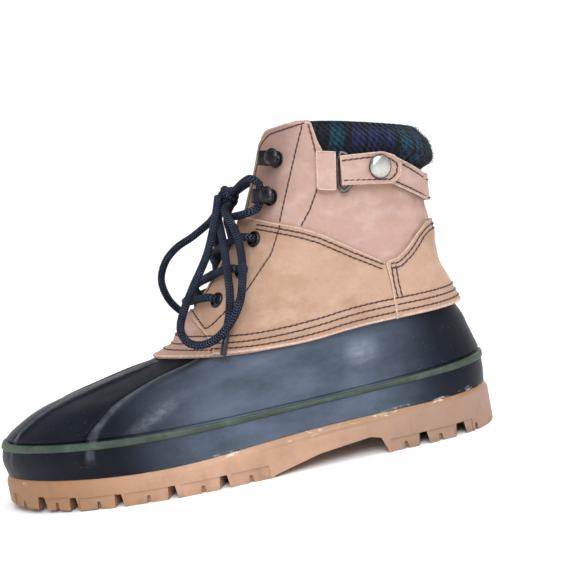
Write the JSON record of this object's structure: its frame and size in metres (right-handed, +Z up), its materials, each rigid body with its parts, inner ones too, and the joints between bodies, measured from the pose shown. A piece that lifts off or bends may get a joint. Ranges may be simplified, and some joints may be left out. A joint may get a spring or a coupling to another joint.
{
  "type": "duck boot",
  "caption": "Left ankle duck boot with a moulded rubber shell, leather shaft, padded knit cuff, collar strap and a lugged gum sole.",
  "frame": {"origin": "on the floor, under the middle of the boot's length and width", "axes": "+Z up, -X towards the toe, -Y towards the outer side of the foot"},
  "size_m": [0.2935, 0.1089, 0.1903],
  "materials": {
    "gum_rubber": "satin",
    "black_rubber": "satin",
    "green_rubber": "matte",
    "tan_leather": "matte",
    "pink_leather": "matte",
    "brown_leather": "matte",
    "knit": "woolly",
    "felt": "matte",
    "black_metal": "satin",
    "pewter": "satin",
    "braid": "braided",
    "lace_tip": "gloss"
  },
  "bodies": {
    "root": {"aglet_inner": "lace_tip", "aglet_outer": "lace_tip", "collar_cuff": "knit", "d_ring_inner": "pewter", "d_ring_outer": "pewter", "eyelet_inner_1": "black_metal", "eyelet_inner_2": "black_metal", "eyelet_inner_3": "black_metal", "eyelet_outer_1": "black_metal", "eyelet_outer_2": "black_metal", "eyelet_outer_3": "black_metal", "heel_counter": "tan_leather", "insole": "felt", "lace_bar": "braid", "lace_crossing_1": "braid", "lace_crossing_2": "braid", "lace_crossing_3": "braid", "lace_end_inner": "braid", "lace_end_outer": "braid", "lace_hook_inner_1": "black_metal", "lace_hook_inner_2": "black_metal", "lace_hook_outer_1": "black_metal", "lace_hook_outer_2": "black_metal", "lace_knot": "braid", "lace_loop_inner": "braid", "lace_loop_outer": "braid", "leather_upper": "pink_leather", "outsole": "gum_rubber", "quarter_inner": "tan_leather", "quarter_outer": "tan_leather", "rand_stripe": "green_rubber", "ring_tab_inner": "pink_leather", "ring_tab_outer": "pink_leather", "rubber_shell": "black_rubber", "snap_cap": "pewter", "strap": "pink_leather", "strap_end": "pink_leather", "tongue": "brown_leather"}
  },
  "joints": []
}
